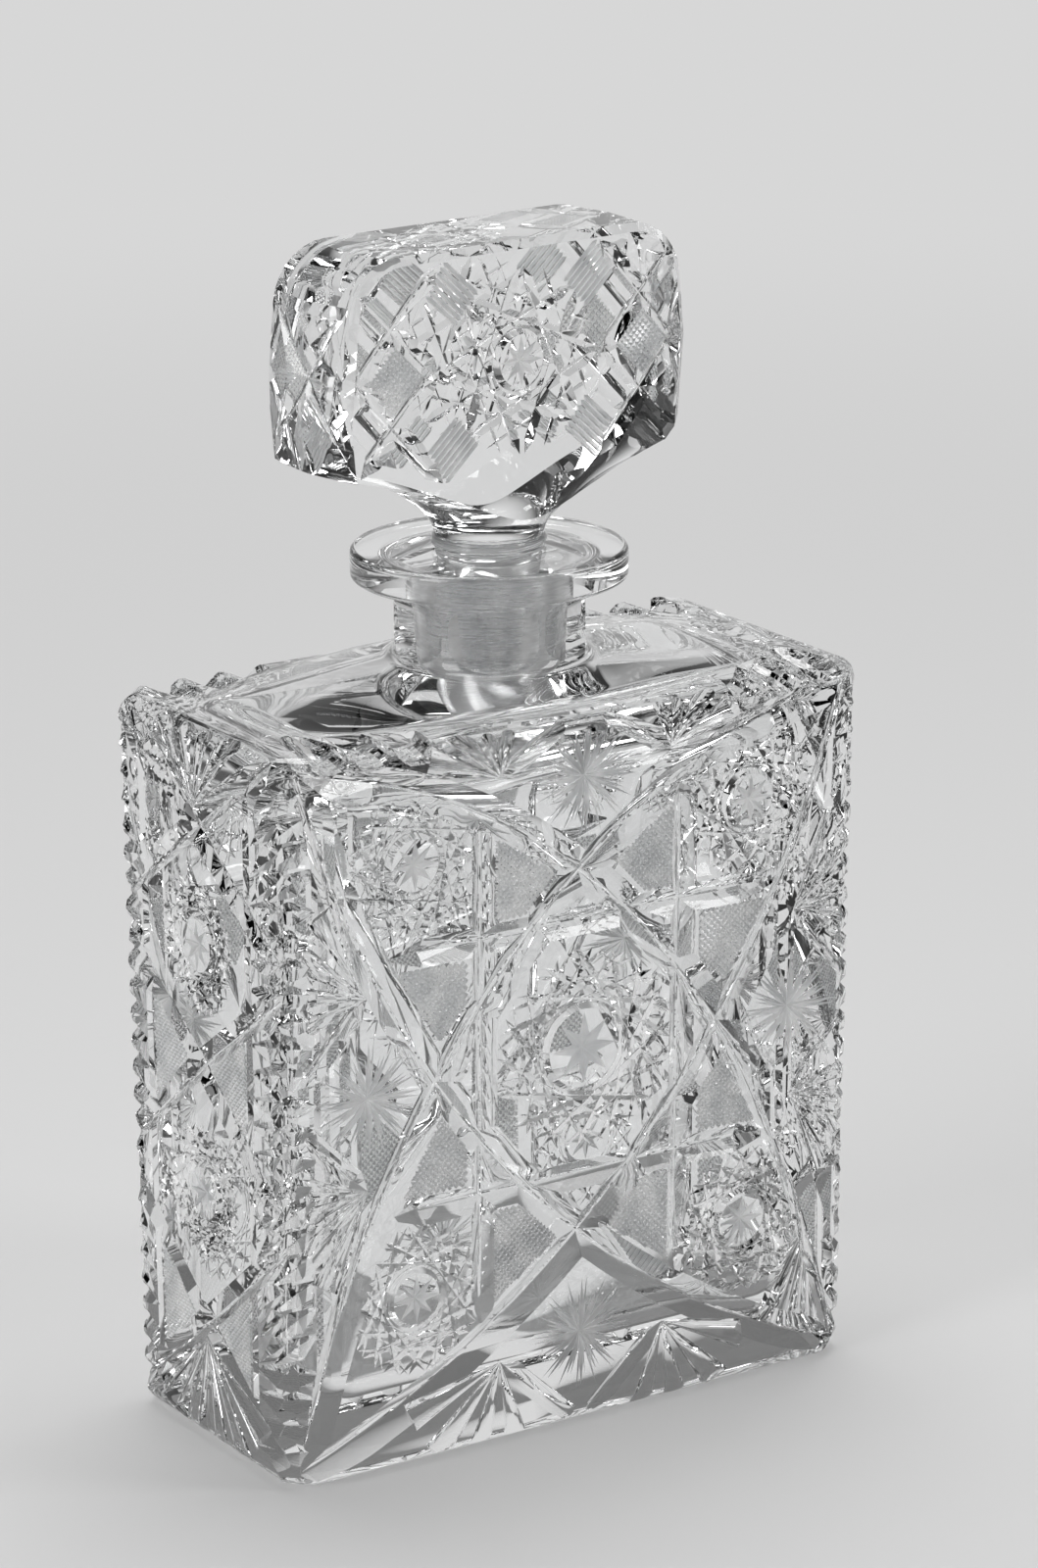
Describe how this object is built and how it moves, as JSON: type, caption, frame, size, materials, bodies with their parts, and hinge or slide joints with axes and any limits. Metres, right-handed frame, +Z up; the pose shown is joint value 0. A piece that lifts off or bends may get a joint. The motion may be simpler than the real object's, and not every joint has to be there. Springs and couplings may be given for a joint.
{
  "type": "cut glass decanter with stopper",
  "caption": "Heavy rectangular cut crystal decanter with a short panelled neck, a flat disc lip and a slab stopper whose tapered ground plug lifts out of the neck.",
  "frame": {"origin": "middle of the flat base, on the surface that the decanter stands on", "axes": "+Z up along the neck, +X to the right along the broad front face, whose outward side is -Y"},
  "size_m": [0.137, 0.0698, 0.2392],
  "materials": {
    "crystal": "colourless lead crystal, polished mitres and bevels, matt cross-hatching, stars and ground plug"
  },
  "bodies": {
    "decanter": {"decanter_body": "crystal"},
    "stopper": {"stopper": "crystal"}
  },
  "joints": [
    {"name": "stopper_lift", "type": "slide", "parent": "decanter", "child": "stopper", "axis": [0, 0, 1], "range_m": [0, 0.045]}
  ]
}
